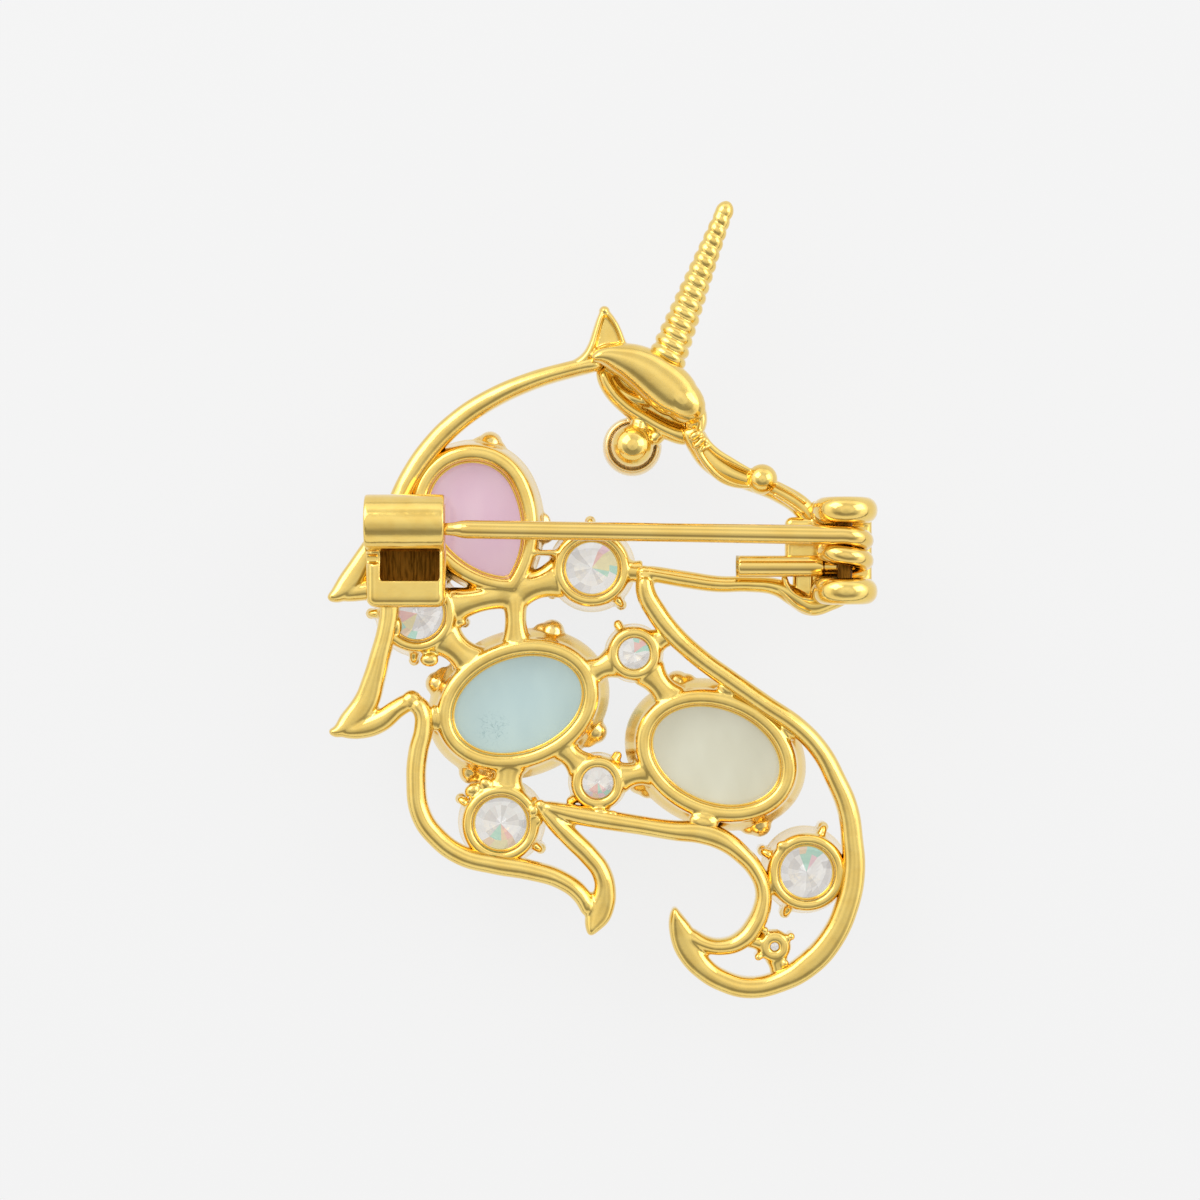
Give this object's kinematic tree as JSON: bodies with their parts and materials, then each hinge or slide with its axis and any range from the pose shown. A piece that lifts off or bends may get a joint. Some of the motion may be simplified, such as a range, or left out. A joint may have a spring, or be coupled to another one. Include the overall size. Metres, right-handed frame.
{
  "type": "brooch pin",
  "caption": "Gilt unicorn-head brooch with claw-set pastel and clear stones, and a hinged pin that closes in a rolled catch.",
  "frame": {"origin": "under the middle of the brooch's outline, on the surface that the fronts of the domed stones rest on", "axes": "+X across the figure from the mane to the muzzle, +Y up the figure towards the horn's tip, +Z from the stones' fronts to the back with the pin"},
  "size_m": [0.0343, 0.05, 0.0104],
  "materials": {
    "gilt_metal": "polished gold plating over cast metal",
    "gilt_wire": "drawn wire, gold plated",
    "pink_glass": "milky pink glass, polished",
    "aqua_glass": "milky aqua glass, polished",
    "cream_glass": "milky cream glass, polished",
    "clear_glass": "clear cut glass with a faint iridescent coating"
  },
  "bodies": {
    "brooch": {"unicorn_frame": "gilt_metal", "hinge_rivet": "gilt_wire", "pear_stone": "pink_glass", "aqua_oval_stone": "aqua_glass", "cream_oval_stone": "cream_glass", "clear_stone_1": "clear_glass", "clear_stone_2": "clear_glass", "clear_stone_3": "clear_glass", "clear_stone_4": "clear_glass", "clear_stone_5": "clear_glass", "clear_stone_6": "clear_glass", "clear_stone_7": "clear_glass"},
    "pin": {"pin_wire": "gilt_wire"}
  },
  "joints": [
    {"name": "pin_hinge", "type": "hinge", "parent": "brooch", "child": "pin", "pos_m": [0.01518, 0.00305, 0.00779], "axis": [0, 1, 0], "range_deg": [0, 70]}
  ]
}
